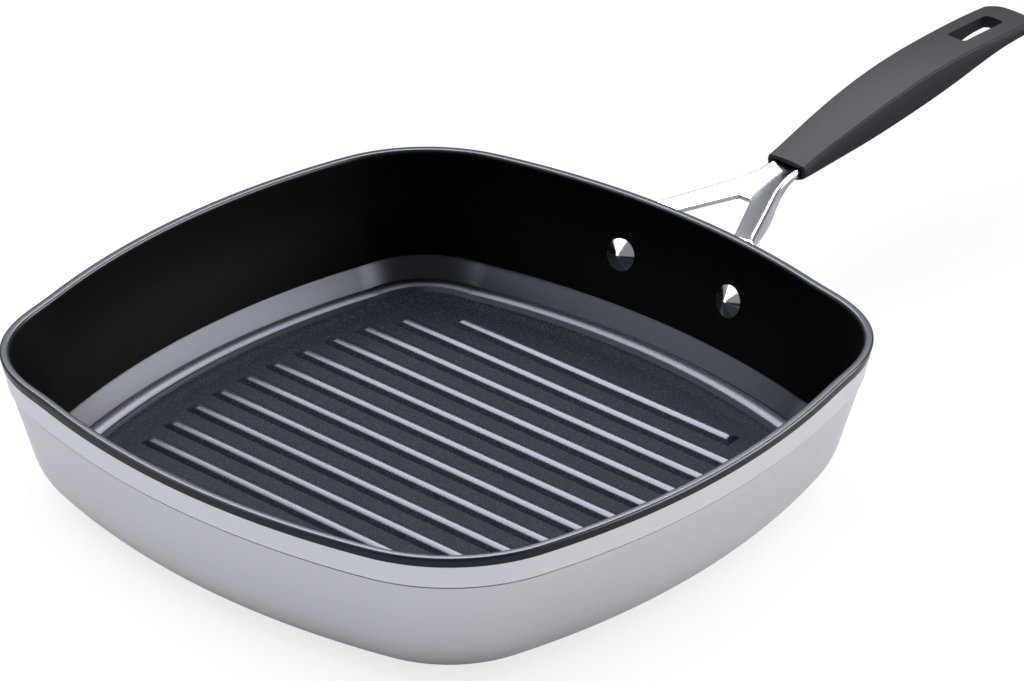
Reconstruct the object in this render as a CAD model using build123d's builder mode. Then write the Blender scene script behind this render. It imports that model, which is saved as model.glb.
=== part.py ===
from build123d import *

import os
from math import asin, atan2, cos, degrees, radians, sin, sqrt, tan

os.makedirs("parts", exist_ok=True)

# Square grill pan, 28 cm across, with a riveted steel yoke and a moulded grip.
# Millimetres. The origin is the middle of the face that the pan rests on,
# +X runs out along the handle and +Z is up.

# Outline of the rim, seen from above: four arched sides and four corner arcs
pan_width = 280.0
half_width = pan_width / 2
side_radius = 309.0
corner_radius = 63.0

# Pan body: heights above the resting face, insets from the rim's outline
rim_height = 60.0
rim_thickness = 3.7
rim_round = 1.2
band_height = 11.6
band_taper = 0.2
groove_height = 0.8
groove_depth = 1.2
wall_start_inset = 0.9
wall_draft = 14.0
wall_thickness = 4.0
bottom_radius = 28.0
underside_height = 0.5
floor_height = 4.7
wall_foot_height = 17.2
valley_inset = 17.8
valley_height = 9.7
bead_width = 7.4
bead_rise = 0.8
step_inset = 29.5
floor_join_inset = 45.0

# Pouring lips at the two corners beside the handle's diagonal, flared out of the wall
lip_reach = 3.6
lip_radius = 40.0
lip_foot_height = rim_height - 24.0
lip_foot_radius = 32.2
lip_overlap = 2.0
lip_drop = 0.15
lip_round = 0.8

# Grill ridges, parallel to the side that carries the handle
ridge_count = 13
ridge_pitch = 14.8
ridge_width = 4.4
ridge_rise = 2.4
ridge_taper = 12.0
ridge_round = 0.6
ridge_end_inset = 42.0

# Induction disc, pressed into the underside so that metal fills its holes
disc_diameter = 196.0
disc_thickness = 1.5
disc_clearance = 0.3
disc_hole_diameter = 5.0
disc_nub_diameter = 4.6
disc_hole_rings = {30.0: 8, 50.0: 14, 70.0: 20, 88.0: 26}

# Handle line, in plan: the handle stands a little to one side of the middle
handle_offset = -4.5

# Yoke, pressed from one sheet: wall pad, two arms, tang and turned-down flanges. Its places
# start from the rim at the handle's side, so that the handle keeps to the pan.
sheet = 2.0
pad_clearance = 0.2
pad_foot_height = rim_height - 36.0
pad_top_height = rim_height - 16.0
pad_half_width = 37.0
pad_corner = 9.0
arms_start = (half_width + 4.0, rim_height - 6.5)
arms_end = (half_width + 30.0, rim_height - 3.6)
tang_mouth = (half_width + 55.0, rim_height - 0.1)
tang_end = (half_width + 126.0, rim_height + 8.6)
pad_bend_radius = 5.0
bend_reach = 0.6
bend_start = 0.15
tang_half_width = 7.1
arm_edge = [(1.0, 33.0), (9.0, 24.6), (20.0, 19.6), (31.0, 14.4), (41.0, 9.6), (50.0, tang_half_width)]
flange_depth = 8.0
tang_flange_depth = 3.2
tang_end_flange_depth = 2.4
tang_step_x = half_width + 70.0
tang_inner_half_width = 5.4
gap_start_x = half_width + 7.0
gap_start_half_width = 15.7
gap_end_x = half_width + 32.5
gap_end_half_width = 2.9
gap_corner = 2.2
yoke_edge_round = 0.6

# Rivets through the pan's wall and the yoke's pad
rivet_half_spacing = 28.0
rivet_height = rim_height - 25.0
rivet_shank = 6.0
rivet_clearance = 0.1
rivet_head_diameter = 13.0
rivet_head_edge = 0.8
rivet_head_rise = 3.2
rivet_tail_diameter = 10.0
rivet_tail_rise = 2.6

# Grip stations by their distance outside the rim: half width, top edge and lower edge measured
# from the rim's height, and how far the underside bulges down in the middle
grip_stations = {
    57.0: (8.8, 1.6, -3.4, 2.4),
    72.0: (9.3, 5.3, -2.6, 2.4),
    88.0: (10.2, 8.9, -1.2, 2.4),
    104.0: (10.8, 12.0, 0.3, 2.4),
    120.0: (11.1, 14.4, 2.0, 2.3),
    137.0: (11.2, 16.0, 3.9, 1.8),
    156.0: (11.3, 16.7, 6.5, -0.2),
    175.0: (11.5, 16.6, 9.4, -2.2),
    200.0: (11.3, 15.4, 11.4, -0.6),
}
grip_crown = 0.6
grip_bulge = 0.7
grip_top_round = 0.9
grip_low_round = 1.6
grip_tip_corner = 8.5
cover_wall = 1.5
core_start_x = half_width + 72.0
core_round = 0.3
core_gap = 0.15
tang_gap = 0.25

# Hanging slot through the end of the grip
slot_start_x = half_width + 162.0
slot_end_x = half_width + 188.0
slot_width = 9.2
slot_corner = 2.0
slot_lining = 1.2

# Fastening of the grip, from below: screw, spring washer and threaded insert
screw_x = half_width + 112.0
screw_diameter = 5.0
screw_clearance = 0.4
screw_head_diameter = 9.0
screw_head_height = 2.4
screw_slot_width = 1.2
screw_slot_depth = 1.0
screw_head_low = rim_height
screw_tip_chamfer = 0.5
washer_split = 0.8
washer_thickness = 1.0
bore_clearance = 0.5
insert_diameter = 8.5
insert_height = 3.2
insert_clearance = 0.1

# Values that follow from the ones above
low_end = (Align.CENTER, Align.CENTER, Align.MIN)
side_offset = side_radius - half_width
arc_gap = side_radius - corner_radius
corner_centre = (sqrt(2 * arc_gap**2 - side_offset**2) - side_offset) / 2
side_sweep = degrees(atan2(corner_centre, corner_centre + side_offset))
side_axis = Axis((-side_offset, 0, 0), (0, 0, 1))
lean = radians(wall_draft)
wall_top_height = rim_height - band_height - groove_height
grip_ends = (half_width + min(grip_stations), half_width + max(grip_stations))
washer_height = screw_head_low + screw_head_height
seat_height = washer_height + washer_thickness
tang_slope = (tang_end[1] - tang_mouth[1]) / (tang_end[0] - tang_mouth[0])
tang_top = tang_mouth[1] + (screw_x - tang_mouth[0]) * tang_slope
gap_slope = (gap_start_half_width - gap_end_half_width) / (gap_end_x - gap_start_x)
insert_low = tang_top + tang_gap + tang_slope * insert_diameter


def outer_inset(height):
    """Distance of the drafted outer wall inside the rim's outline, at a height."""
    return wall_start_inset + (wall_top_height - height) * tan(lean)


def inner_inset(height):
    """Distance of the drafted inner wall inside the rim's outline, at a height."""
    return outer_inset(height) + wall_thickness


def pan_outline(inset):
    """Wire of the rim's outline moved inward by inset: arched sides and corner arcs."""
    with BuildLine() as line:
        for quarter in range(4):
            turn = 90 * quarter
            side = Vector(-side_offset, 0).rotate(Axis.Z, turn)
            corner = Vector(corner_centre, corner_centre).rotate(Axis.Z, turn)
            next_side = Vector(0, -side_offset).rotate(Axis.Z, turn)
            corner_sweep = 90 - 2 * side_sweep
            CenterArc(side, side_radius - inset, turn, side_sweep)
            CenterArc(corner, corner_radius - inset, turn + side_sweep, corner_sweep)
            CenterArc(next_side, side_radius - inset, turn + 90 - side_sweep, side_sweep)
    return line.wires()[0]


def ridge_reach(x):
    """Half length of the ridge at x, which ends on the outline of the ridged field."""
    side = side_radius - ridge_end_inset
    corner = corner_radius - ridge_end_inset
    if abs(x) <= side * sin(radians(side_sweep)):
        return sqrt(side**2 - x**2) - side_offset
    return corner_centre + sqrt(max(corner**2 - (abs(x) - corner_centre) ** 2, 0))


# Pan body: the section of wall and rim swept round the outline, then floor and ridges
with BuildPart() as pan_body:
    with BuildSketch(Plane.XZ) as wall_section:
        with BuildLine():
            band_foot = (half_width - band_taper, rim_height - band_height)
            groove = (half_width - groove_depth, band_foot[1] - groove_height / 2)
            wall_top = (half_width - wall_start_inset, wall_top_height)
            turn_height = underside_height + bottom_radius * (1 - sin(lean))
            turn = (half_width - outer_inset(turn_height), turn_height)
            base = (turn[0] - bottom_radius * cos(lean), underside_height)
            Polyline((half_width, rim_height), band_foot, groove, wall_top, turn)
            TangentArc(turn, base, tangent=(-sin(lean), -cos(lean)))
            join_x = half_width - floor_join_inset
            step = (half_width - step_inset, floor_height)
            bead_end = (half_width - valley_inset - bead_width, valley_height)
            Polyline(base, (join_x, underside_height), (join_x, floor_height), step, bead_end)
            bead_top = (bead_end[0] + bead_width / 2, valley_height + bead_rise)
            valley = (half_width - valley_inset, valley_height)
            ThreePointArc(bead_end, bead_top, valley)
            foot = (half_width - inner_inset(wall_foot_height), wall_foot_height)
            TangentArc(foot, valley, tangent=(-sin(lean), -cos(lean)))
            inner_top = (half_width - inner_inset(wall_top_height), wall_top_height)
            rim_inner = (half_width - rim_thickness, rim_height)
            Polyline(foot, inner_top, rim_inner, (half_width, rim_height))
        make_face()
        fillet(wall_section.vertices().group_by(Axis.Y)[-1], rim_round)
    sweep(path=pan_outline(0))
    with BuildSketch(Plane.XY.offset(underside_height)):
        make_face(pan_outline(floor_join_inset).edges())
    extrude(amount=floor_height - underside_height)
    with BuildSketch(Plane.XY.offset(underside_height)):
        Circle(disc_diameter / 2 + disc_clearance)
        for ring_radius, count in disc_hole_rings.items():
            with PolarLocations(ring_radius, count):
                Circle(disc_nub_diameter / 2, mode=Mode.SUBTRACT)
    extrude(amount=disc_thickness - underside_height, mode=Mode.SUBTRACT)

lip_centre = corner_centre * sqrt(2) + corner_radius + lip_reach - lip_radius
lip_places = [(-lip_centre / sqrt(2), lip_centre / sqrt(2)), (lip_centre / sqrt(2), -lip_centre / sqrt(2))]
lip_places = [(x, y, lip_foot_height) for x, y in lip_places]
lip_height = rim_height - lip_foot_height
lip_flare = (lip_radius - lip_foot_radius) / lip_height

with BuildPart() as lip_rooms:
    with Locations(*lip_places):
        Cone(lip_foot_radius - rim_thickness, lip_radius - rim_thickness, lip_height, align=low_end)

with BuildPart() as pouring_lips:
    with Locations(*lip_places):
        Cone(lip_foot_radius, lip_radius - lip_drop * lip_flare, lip_height - lip_drop, align=low_end)
    fillet(pouring_lips.faces().group_by(Axis.Z)[-1].edges(), lip_round)
    add(lip_rooms.part, mode=Mode.SUBTRACT)
    with Locations((-corner_centre, corner_centre), (corner_centre, -corner_centre)):
        Cylinder(corner_radius - lip_overlap, 2 * rim_height, align=low_end, mode=Mode.SUBTRACT)

with BuildPart() as ridges:
    for index in range(ridge_count):
        ridge_x = (index - (ridge_count - 1) / 2) * ridge_pitch
        with BuildSketch(Plane.XY.offset(floor_height)):
            with Locations((ridge_x, 0)):
                Rectangle(ridge_width, 2 * ridge_reach(ridge_x))
        extrude(amount=ridge_rise, taper=ridge_taper)
    fillet(ridges.faces().group_by(Axis.Z)[-1].edges(), ridge_round)

with BuildPart() as disc:
    with BuildSketch():
        Circle(disc_diameter / 2)
        for ring_radius, count in disc_hole_rings.items():
            with PolarLocations(ring_radius, count):
                Circle(disc_hole_diameter / 2, mode=Mode.SUBTRACT)
    extrude(amount=disc_thickness)


def rivet_plane(side):
    """Section plane of a rivet: origin on the outer wall, X along it and Y out of it."""
    radius = side_radius - outer_inset(rivet_height)
    y = handle_offset + side * rivet_half_spacing
    around = asin(y / radius)
    origin = Vector(radius * cos(around) - side_offset, y, rivet_height)
    along = Vector(-sin(around), cos(around), 0)
    outward = Vector(cos(around) * cos(lean), sin(around) * cos(lean), -sin(lean))
    return Plane(origin=origin, x_dir=along, z_dir=along.cross(outward))


rivet_planes = [rivet_plane(side) for side in (-1, 1)]
handle_plane = Plane((0, handle_offset, 0))
yoke_sweep = degrees(asin(pad_half_width / side_offset)) + 1
yoke_plane = Plane(
    origin=side_axis.position,
    x_dir=Vector(1, 0, 0).rotate(Axis.Z, -yoke_sweep),
    z_dir=Vector(0, -1, 0).rotate(Axis.Z, -yoke_sweep),
)
grip_length = wall_thickness * cos(lean)
pad_outside = pad_clearance + sheet

with BuildPart() as rivets:
    for plane in rivet_planes:
        with BuildSketch(plane):
            with BuildLine():
                head_seat = -grip_length - rivet_clearance
                tip = (0, head_seat - rivet_head_rise)
                head_radius = rivet_head_diameter / 2
                shank_radius = rivet_shank / 2
                tail_radius = rivet_tail_diameter / 2
                Polyline(tip, (head_radius, head_seat - rivet_head_edge), (head_radius, head_seat))
                Polyline((head_radius, head_seat), (shank_radius, head_seat), (shank_radius, pad_outside))
                Line((shank_radius, pad_outside), (tail_radius, pad_outside))
                tail_end = (0, pad_outside + rivet_tail_rise)
                TangentArc(tail_end, (tail_radius, pad_outside), tangent=(1, 0))
                Line(tail_end, tip)
            make_face()
        revolve(axis=Axis(plane.origin, plane.y_dir))

with BuildPart() as rivet_holes:
    for plane in rivet_planes:
        across = Plane(origin=plane.origin, x_dir=plane.x_dir, z_dir=plane.y_dir)
        with BuildSketch(across):
            Circle(rivet_shank / 2 + rivet_clearance)
        extrude(amount=2 * wall_thickness, both=True)


def yoke_sheet(lower_side, bend):
    """Body with the yoke's upper faces, closed below by lower_side, turned round the side's axis."""
    upper_side = [arms_start, arms_end, tang_mouth, tang_end]
    with BuildPart() as body:
        with BuildSketch(yoke_plane) as section:
            with BuildLine():
                points = [(x + side_offset, z) for x, z in upper_side + lower_side]
                Polyline(*points, close=True)
            make_face()
            for place, radius in bend.items():
                corner = Vector(place[0] + side_offset, place[1], 0)
                fillet(section.vertices().sort_by_distance(corner)[0], radius)
        revolve(axis=side_axis, revolution_arc=2 * yoke_sweep)
    return body.part


def yoke_plan(inset, end_x):
    """Yoke in plan about the handle's line, with its edges moved inward by inset."""
    with BuildSketch(handle_plane) as plan:
        with BuildLine():
            edge = [(half_width + run, y - inset) for run, y in arm_edge]
            pad_x = half_width - outer_inset(pad_foot_height) - 3 * sheet
            wide = (edge[0][0] - sheet, pad_half_width - inset)
            Polyline((pad_x, 0), (pad_x, wide[1]), wide, edge[0])
            Spline(*edge)
            step = (tang_step_x - inset, tang_half_width - inset)
            inner_half = tang_inner_half_width - inset
            Polyline(edge[-1], step, (step[0], inner_half), (end_x, inner_half), (end_x, 0))
            mirror(about=Plane.XZ)
        make_face()
    return plan.sketch


pad_foot = (half_width - outer_inset(pad_foot_height) + pad_clearance, pad_foot_height)
pad_top = (half_width - outer_inset(pad_top_height) + pad_clearance, pad_top_height)
bend_run = arms_start[0] - pad_top[0]
under_bend = (arms_start[0] + sheet * bend_reach, arms_start[1] - sheet)
sheet_underside = [
    (tang_end[0], tang_end[1] - sheet),
    (tang_mouth[0], tang_mouth[1] - sheet),
    (arms_end[0], arms_end[1] - sheet),
    under_bend,
    (pad_top[0] + sheet, pad_top[1]),
    (pad_foot[0] + sheet, pad_foot[1]),
    pad_foot,
    pad_top,
]
flange_underside = [
    (tang_end[0], tang_end[1] - tang_end_flange_depth),
    (tang_mouth[0], tang_mouth[1] - tang_flange_depth),
    (arms_end[0], arms_end[1] - flange_depth),
    (pad_top[0] + bend_start * bend_run, pad_top[1] + bend_start * (arms_start[1] - pad_top[1])),
]

with BuildPart() as flanges:
    add(yoke_sheet(flange_underside, {arms_start: pad_bend_radius}))
    with BuildSketch():
        add(yoke_plan(0, tang_end[0]))
        add(yoke_plan(sheet, tang_end[0] + sheet), mode=Mode.SUBTRACT)
    extrude(amount=rim_height + tang_end[1], mode=Mode.INTERSECT)

with BuildPart() as yoke:
    add(yoke_sheet(sheet_underside, {arms_start: pad_bend_radius, under_bend: pad_bend_radius - sheet}))
    with BuildSketch():
        add(yoke_plan(0, tang_end[0]))
    extrude(amount=rim_height + tang_end[1], mode=Mode.INTERSECT)
    add(flanges.part)
    with BuildSketch(handle_plane):
        with BuildLine():
            gap_start = (gap_start_x, gap_start_half_width)
            gap_end = (gap_end_x, gap_end_half_width)
            Polyline((gap_start_x, 0), gap_start, gap_end, (gap_end_x, 0))
            mirror(about=Plane.XZ)
        gap = make_face()
        fillet(gap.vertices(), gap_corner)
    extrude(amount=rim_height + tang_end[1], mode=Mode.SUBTRACT)
    with BuildSketch(Plane.YZ.offset(pad_foot[0] - half_width)):
        with Locations((handle_offset, pad_foot_height)):
            pad_rise = tang_end[1]
            frame_face = Rectangle(2 * pad_half_width + 1, pad_rise, align=(Align.CENTER, Align.MIN))
        fillet(frame_face.vertices().group_by(Axis.Y)[0], pad_corner)
    extrude(amount=half_width + tang_end[0], mode=Mode.INTERSECT)
    add(rivet_holes.part, mode=Mode.SUBTRACT)


def grip_shape(inset, start_x, top_round, low_round):
    """Body of the grip with its surface moved inward by inset, starting at start_x."""
    with BuildPart() as body:
        for run, (half, top, low, belly) in grip_stations.items():
            half -= inset
            top += rim_height - inset
            low += rim_height + inset
            with BuildSketch(Plane.YZ.offset(half_width + run)) as station:
                with BuildLine(Plane.XY.offset(0)):
                    middle = handle_offset
                    side_y = half + grip_bulge
                    side_z = (top + low) / 2
                    ThreePointArc((middle - half, top), (middle, top + grip_crown), (middle + half, top))
                    ThreePointArc((middle + half, top), (middle + side_y, side_z), (middle + half, low))
                    ThreePointArc((middle + half, low), (middle, low - belly), (middle - half, low))
                    ThreePointArc((middle - half, low), (middle - side_y, side_z), (middle - half, top))
                make_face()
                fillet(station.vertices().group_by(Axis.Y)[-1], top_round)
                fillet(station.vertices().group_by(Axis.Y)[0], low_round)
        loft()
        with BuildSketch(handle_plane):
            length = grip_ends[1] - inset - start_x
            with Locations((start_x, 0)):
                plan = Rectangle(length, 2 * grip_reach, align=(Align.MIN, Align.CENTER))
            tip = plan.vertices().group_by(Axis.X)[-1]
            fillet(tip, grip_tip_corner)
        extrude(amount=2 * rim_height, mode=Mode.INTERSECT)
    return body.part


def slot_block(growth):
    """Slot of the grip in plan, with its edges moved outward by growth."""
    with Locations(((slot_start_x + slot_end_x) / 2, 0)):
        length = slot_end_x - slot_start_x + 2 * growth
        RectangleRounded(length, slot_width + 2 * growth, slot_corner + growth)


grip_reach = max(station[0] for station in grip_stations.values()) + grip_bulge
screw_place = (screw_x, handle_offset, tang_end[1] / 2)
bore_radius = screw_head_diameter / 2 + bore_clearance


def tang_room(half, end_x):
    """Room for the tang inside the grip, half wide on each side, up to end_x."""
    with BuildPart() as room:
        with BuildSketch(Plane.XZ.offset(-handle_offset)):
            with BuildLine():
                upper = [(x, z + tang_gap) for x, z in (tang_mouth, tang_end)]
                lower = [
                    (tang_end[0], tang_end[1] - tang_end_flange_depth - tang_gap),
                    (tang_mouth[0], tang_mouth[1] - tang_flange_depth - tang_gap),
                ]
                Polyline(*upper, *lower, close=True)
            make_face()
        extrude(amount=half + tang_gap, both=True)
        with BuildSketch(handle_plane):
            with Locations((tang_mouth[0], 0)):
                length = end_x + tang_gap - tang_mouth[0]
                Rectangle(length, 2 * tang_half_width + 1, align=(Align.MIN, Align.CENTER))
        extrude(amount=2 * rim_height, mode=Mode.INTERSECT)
    return room.part


with BuildPart() as tang_pocket:
    add(tang_room(tang_inner_half_width, tang_end[0]))
    add(tang_room(tang_half_width, tang_step_x))

with BuildPart() as cover:
    add(grip_shape(0, grip_ends[0], grip_top_round, grip_low_round))

    with BuildSketch(handle_plane):
        slot_block(0)
    extrude(amount=2 * rim_height, mode=Mode.SUBTRACT)
    with BuildPart(mode=Mode.PRIVATE) as cavity:
        add(grip_shape(cover_wall, core_start_x - core_gap, core_round, core_round))
        with BuildSketch(handle_plane):
            slot_block(slot_lining)
        extrude(amount=2 * rim_height, mode=Mode.SUBTRACT)
    add(cavity.part, mode=Mode.SUBTRACT)
    add(tang_pocket.part, mode=Mode.SUBTRACT)
    with Locations(screw_place):
        Cylinder(bore_radius, washer_height - tang_end[1] / 2, align=low_end, mode=Mode.SUBTRACT)

with BuildPart() as core:
    add(grip_shape(cover_wall + core_gap, core_start_x, core_round, core_round))
    with BuildSketch(handle_plane):
        slot_block(slot_lining + core_gap)
    extrude(amount=2 * rim_height, mode=Mode.SUBTRACT)
    add(tang_pocket.part, mode=Mode.SUBTRACT)
    with Locations(screw_place):
        Cylinder(screw_diameter / 2 + screw_clearance, tang_end[1] / 2, align=low_end, mode=Mode.SUBTRACT)
        Cylinder(bore_radius, seat_height - tang_end[1] / 2, align=low_end, mode=Mode.SUBTRACT)
    with Locations((screw_x, handle_offset, tang_top)):
        pocket_height = insert_low + insert_height + insert_clearance - tang_top
        pocket_radius = insert_diameter / 2 + insert_clearance
        Cylinder(pocket_radius, pocket_height, align=low_end, mode=Mode.SUBTRACT)

with BuildPart() as screw:
    with Locations((screw_x, handle_offset, screw_head_low)):
        Cylinder(screw_head_diameter / 2, screw_head_height, align=low_end)
        Box(screw_head_diameter, screw_slot_width, screw_slot_depth, align=low_end, mode=Mode.SUBTRACT)
    with Locations((screw_x, handle_offset, washer_height)):
        Cylinder(screw_diameter / 2, insert_low + insert_height - washer_height, align=low_end)
    chamfer(screw.faces().sort_by(Axis.Z)[-1].edges(), screw_tip_chamfer)

with BuildPart() as washer:
    with Locations((screw_x, handle_offset, washer_height)):
        Cylinder(screw_head_diameter / 2, washer_thickness, align=low_end)
        Cylinder(screw_diameter / 2 + insert_clearance, washer_thickness, align=low_end, mode=Mode.SUBTRACT)
    with Locations((screw_x + screw_head_diameter / 2, handle_offset, washer_height)):
        Box(screw_head_diameter, washer_split, washer_thickness, align=low_end, mode=Mode.SUBTRACT)

with BuildPart() as insert:
    with Locations((screw_x, handle_offset, insert_low)):
        Cylinder(insert_diameter / 2, insert_height, align=low_end)
        Cylinder(screw_diameter / 2 + insert_clearance, insert_height, align=low_end, mode=Mode.SUBTRACT)


def is_outer_top(edge, faces):
    """Whether an edge of the yoke borders its top face along the outside of an arm or the tang."""
    middle = edge.position_at(0.5)
    outward = abs(middle.Y - handle_offset)
    gap_side = (gap_end_x + gap_corner - middle.X) * gap_slope + gap_end_half_width
    if middle.X < gap_start_x or middle.X > tang_step_x - 1 or outward < max(gap_side, gap_corner) + 0.5:
        return False
    beside = [face for face in faces if any(side.is_same(edge) for side in face.edges())]
    return sum(face.normal_at(middle).Z > cos(radians(45)) for face in beside) == 1


with BuildPart() as finished_yoke:
    add(yoke.part)
    yoke_faces = finished_yoke.faces()
    outer_top = [edge for edge in finished_yoke.edges() if is_outer_top(edge, yoke_faces)]
    fillet(outer_top, yoke_edge_round)
    with Locations((screw_x, handle_offset, 0)):
        Cylinder(screw_diameter / 2 + screw_clearance, 2 * rim_height, align=low_end, mode=Mode.SUBTRACT)

with BuildPart() as finished_pan:
    add(pan_body.part)
    add(lip_rooms.part, mode=Mode.SUBTRACT)
    add(pouring_lips.part)
    add(ridges.part)
    add(rivet_holes.part, mode=Mode.SUBTRACT)

pieces = {
    "pan_body": finished_pan,
    "base_plate": disc,
    "handle_yoke": finished_yoke,
    "rivets": rivets,
    "grip_core": core,
    "grip_cover": cover,
    "grip_screw": screw,
    "lock_washer": washer,
    "threaded_insert": insert,
}
for name, piece in pieces.items():
    piece.part.label = name
    export_step(piece.part, f"parts/{name}.step")
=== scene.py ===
import math

import bmesh
import bpy
from mathutils import Matrix, Vector


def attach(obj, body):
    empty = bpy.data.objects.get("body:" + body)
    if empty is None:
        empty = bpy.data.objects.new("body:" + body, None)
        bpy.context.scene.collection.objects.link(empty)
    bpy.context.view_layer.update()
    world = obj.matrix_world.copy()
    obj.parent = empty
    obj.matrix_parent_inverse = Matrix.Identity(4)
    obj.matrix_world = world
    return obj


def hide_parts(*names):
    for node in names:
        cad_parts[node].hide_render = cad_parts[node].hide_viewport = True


bl_info = {
    "name": "Square grill pan",
    "version": (1, 0, 0),
    "blender": (4, 5, 0),
    "location": "View3D > Sidebar > Grill pan",
    "description": "Builds the grill pan's visual pieces over its CAD frame and sets the studio round it",
    "category": "Object",
}

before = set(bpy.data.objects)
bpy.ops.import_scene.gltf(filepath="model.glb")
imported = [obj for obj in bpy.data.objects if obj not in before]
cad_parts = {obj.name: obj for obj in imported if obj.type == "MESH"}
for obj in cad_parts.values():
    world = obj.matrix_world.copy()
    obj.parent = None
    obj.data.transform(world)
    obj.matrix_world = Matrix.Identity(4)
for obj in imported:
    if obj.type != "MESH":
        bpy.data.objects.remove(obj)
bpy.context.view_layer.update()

MM = 0.001


# Settings, with lengths in millimetres


def linear(code):
    """Linear RGBA of an sRGB hex colour."""
    parts = [int(code[i : i + 2], 16) / 255 for i in (1, 3, 5)]
    return [((c + 0.055) / 1.055) ** 2.4 if c > 0.04045 else c / 12.92 for c in parts] + [1.0]


def length(name, default, description):
    """A length in millimetres, shown in the sidebar."""
    return bpy.props.FloatProperty(name=name, default=default, description=description, min=0.0)


def angle(name, degrees, description):
    """An angle, shown in the sidebar in degrees."""
    default = math.radians(degrees)
    return bpy.props.FloatProperty(name=name, default=default, description=description, subtype="ANGLE")


def colour(name, code, description):
    """A finish's colour, given as an sRGB hex code."""
    return bpy.props.FloatVectorProperty(
        name=name, default=linear(code), description=description, subtype="COLOR", size=4, min=0.0, max=1.0
    )


class PanSettings(bpy.types.PropertyGroup):
    width: length("Width", 280.0, "Distance between the middles of opposite sides at the rim")
    side_radius: length("Side radius", 309.0, "Radius of the arched sides at the rim")
    corner_radius: length("Corner radius", 63.0, "Radius of the corners at the rim")
    rim_height: length("Rim height", 60.0, "Height of the rim over the resting face")
    lip: length("Lip", 3.7, "Width of the coated lip")
    lip_drop: length("Lip drop", 3.4, "How far the coating comes down outside the rim")
    lip_reach: length("Pouring lip", 3.7, "How far the pouring lips flare out of the corners")
    lip_foot: length("Pouring lip foot", 38.0, "Height at which a pouring lip starts")
    lip_spread: angle("Pouring lip spread", 17.0, "Half angle of a pouring lip, seen from the pan's middle")
    rim_round: length("Rim round", 1.1, "Radius of the lip's edges")
    band: length("Band", 11.6, "Height of the plain band under the rim")
    groove: length("Groove", 0.9, "Height of the groove under the band")
    groove_inset: length("Groove inset", 1.7, "Inset of the groove's bottom")
    wall_inset: length("Wall inset", 0.9, "Inset of the wall under the groove")
    draft: angle("Draft", 14.0, "Lean of the wall")
    wall: length("Wall", 4.0, "Thickness of the wall")
    bottom_radius: length("Bottom radius", 28.0, "Radius between the wall and the underside")
    underside: length("Underside", 0.5, "Height of the aluminium underside")
    floor: length("Floor", 6.2, "Height of the floor between the ridges")
    foot: length("Wall foot", 17.2, "Height where the inner wall turns into the cove")
    valley: length("Valley inset", 17.8, "Inset of the valley between cove and bead")
    valley_height: length("Valley height", 9.7, "Height of the valley")
    bead: length("Bead", 6.6, "Width of the bead inside the valley")
    bead_rise: length("Bead rise", 0.8, "Height of the bead over the valley")
    step: length("Step inset", 32.0, "Inset of the foot of the step down to the floor")
    crest: length("Bead crest", 2.1, "Distance of the bead's crest inside the valley")
    crease: length("Crease", 0.3, "Depth of the crease where the cove meets the bead")
    cove_hollow: length("Cove hollow", 0.35, "How hollow the slanting cove is")
    square: length("Square", 1.6, "How much squarer than the rim the floor's outline is")
    square_top: length("Square top", 36.0, "Height at which the inner wall has the rim's own outline")


class RidgeSettings(bpy.types.PropertyGroup):
    count: bpy.props.IntProperty(name="Ridges", default=13, min=1, description="Number of grill ridges")
    pitch: length("Pitch", 14.8, "Distance from ridge to ridge")
    top: length("Ridge top", 4.8, "Width of a ridge's gently domed top")
    width: length("Ridge width", 8.4, "Width of a ridge at its foot")
    rise: length("Ridge rise", 2.1, "Height of a ridge over the floor")
    dome: length("Ridge dome", 0.85, "How far a ridge's top falls away to both sides")
    corner: length("Field corner", 45.0, "Corner radius of the outline on which the ridges end")
    field: length("Field inset", 41.0, "Inset of the outline on which the ridges end")


class BaseSettings(bpy.types.PropertyGroup):
    recess: length("Recess", 98.3, "Radius of the recess for the steel disc")
    ceiling: length("Recess ceiling", 1.5, "Height of the recess's ceiling")
    nub: length("Nub", 2.3, "Radius of the aluminium nubs that fill the disc's holes")


class YokeSettings(bpy.types.PropertyGroup):
    offset: length("Handle offset", 4.5, "Distance of the handle's line from the pan's middle, towards -Y")
    sheet: length("Sheet", 2.0, "Thickness of the pressed steel")
    pad_foot: length("Pad foot", 24.0, "Height of the wall pad's lower edge")
    pad_top: length("Pad top", 44.0, "Height at which the sheet leaves the wall")
    pad_half: length("Pad half width", 37.0, "Half width of the wall pad")
    pad_corner: length("Pad corner", 9.0, "Radius of the wall pad's lower corners")
    dish: length("Dish", 2.2, "How far the arms rise to both sides of the handle's line")
    edge_round: length("Edge round", 2.4, "Radius between the top and the turned-down flanges")
    gap_start: length("Opening start", 147.0, "X of the opening's wide end")
    gap_end: length("Opening end", 172.5, "X of the opening's narrow end")
    gap_wide: length("Opening half width", 15.7, "Half width of the opening at its wide end")
    gap_narrow: length("Opening narrow half width", 2.9, "Half width of the opening at its narrow end")
    gap_corner: length("Opening corner", 2.2, "Radius of the opening's corners")


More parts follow.
